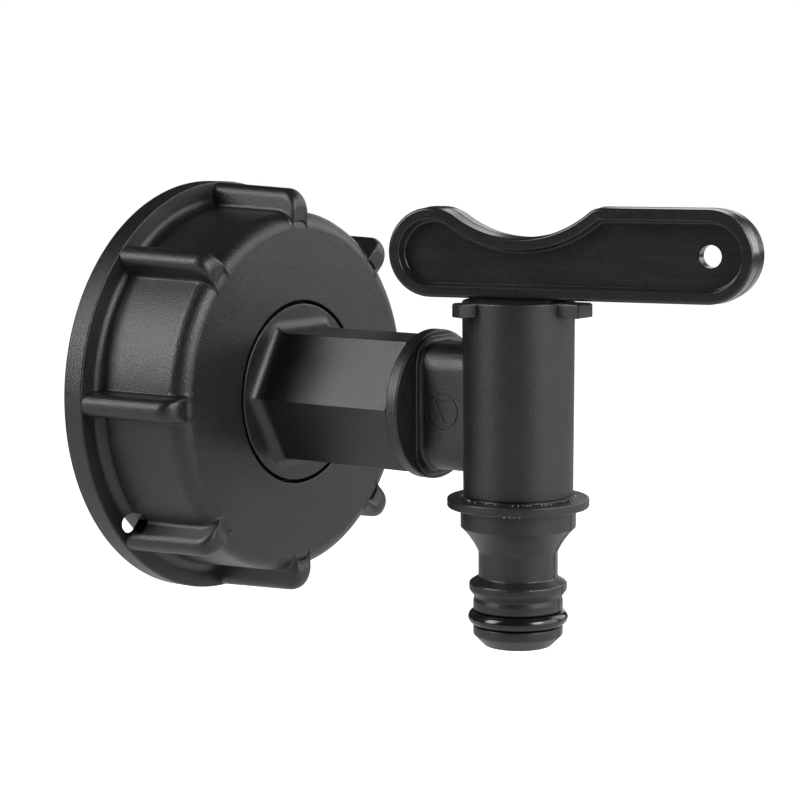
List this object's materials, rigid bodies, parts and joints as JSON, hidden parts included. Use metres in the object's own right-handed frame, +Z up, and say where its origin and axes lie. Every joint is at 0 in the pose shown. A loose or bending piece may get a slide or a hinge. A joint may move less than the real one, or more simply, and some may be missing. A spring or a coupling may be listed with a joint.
{
  "type": "ibc tank valve",
  "caption": "Black plastic tap for a bulk liquid container: ribbed union nut, hexagon adapter, upright barrel with a scooped lever and a hose-coupling nozzle.",
  "frame": {"origin": "centre of the union nut's mouth, on the axis of its thread", "axes": "+Y out of the nut's mouth towards the container, +Z up, the pipe runs along -Y to an upright barrel that pours along -Z"},
  "size_m": [0.0778, 0.1145, 0.0805],
  "materials": {
    "nut_plastic": "moulded black plastic with a fine spark-eroded grain",
    "adapter_plastic": "moulded black plastic, satin",
    "body_plastic": "moulded black plastic, fine grain",
    "nipple_plastic": "moulded black plastic, satin",
    "lever_plastic": "moulded black plastic, semi-gloss with faint flow marks",
    "rotor_plastic": "natural white sliding plastic",
    "seal_rubber": "matte black rubber",
    "ring_rubber": "glossy greased black rubber"
  },
  "bodies": {
    "valve_body": {"hex_adapter": "adapter_plastic", "tank_gasket": "seal_rubber", "inlet_washer": "seal_rubber", "tap_body": "body_plastic", "port_seal": "seal_rubber", "outlet_nipple": "nipple_plastic", "nozzle_ring": "ring_rubber"},
    "nut": {"union_nut": "nut_plastic"},
    "lever": {"lever_handle": "lever_plastic", "stem_ring_upper": "ring_rubber", "stem_ring_lower": "ring_rubber", "valve_rotor": "rotor_plastic"}
  },
  "joints": [
    {"name": "nut_spin", "type": "hinge", "parent": "valve_body", "child": "nut", "pos_m": [0, 0, 0], "axis": [0, 1, 0], "continuous": true},
    {"name": "lever_turn", "type": "hinge", "parent": "valve_body", "child": "lever", "pos_m": [0, -0.0722, 0], "axis": [0, 0, 1], "range_deg": [-13.4, 76.6]}
  ]
}
